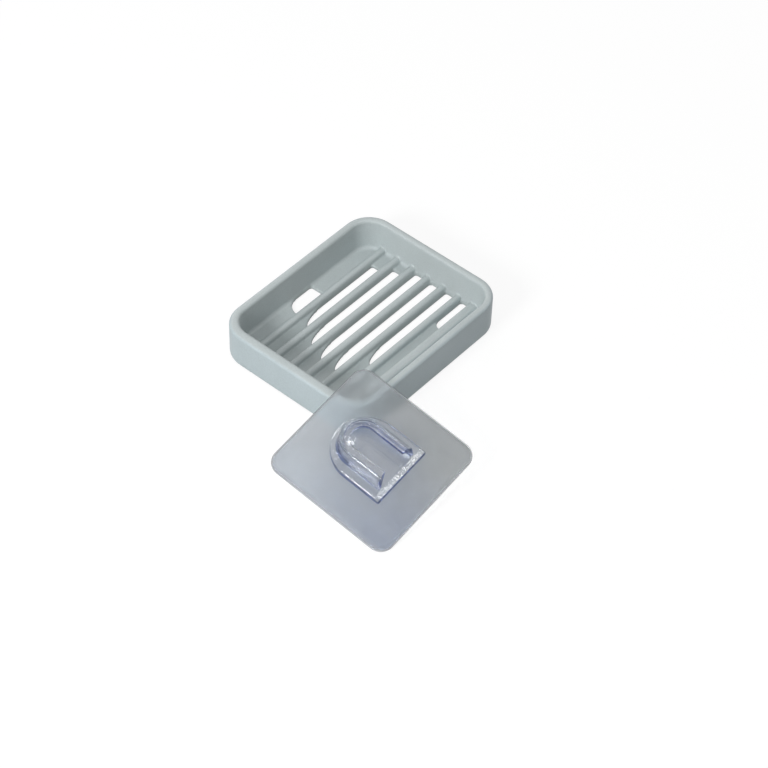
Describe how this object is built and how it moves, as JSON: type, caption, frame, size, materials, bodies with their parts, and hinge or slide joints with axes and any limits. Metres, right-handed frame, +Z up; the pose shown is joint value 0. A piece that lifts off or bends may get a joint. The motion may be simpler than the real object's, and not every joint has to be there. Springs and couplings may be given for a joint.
{
  "type": "soap dish",
  "caption": "Rectangular drained soap tray with raised ribs, and a clear D-plate wall hook with a U-shaped rail on a square adhesive pad.",
  "frame": {"origin": "on the underside of the soap tray, at the middle of its plan, under the middle drain rib", "axes": "+Z up from the surface that the tray stands on, +Y along the drain ribs, +X across them, from the tray's hanging tongue towards the side that the adhesive pad leans on"},
  "size_m": [0.1667, 0.1741, 0.0307],
  "materials": {
    "tray_plastic": "satin moulded",
    "clear_plastic": "clear polished",
    "film_plastic": "clear film",
    "adhesive_gel": "tacky clear gel",
    "liner_film": "translucent film"
  },
  "bodies": {
    "tray": {"soap_tray": "tray_plastic"},
    "wall_hook": {"hook_plate": "clear_plastic", "pad_film": "film_plastic", "adhesive_layer": "adhesive_gel", "release_liner": "liner_film"}
  },
  "joints": [
    {"name": "wall_hook_lift", "type": "slide", "parent": "tray", "child": "wall_hook", "axis": [0, 0, 1], "range_m": [0, 0.12]}
  ]
}
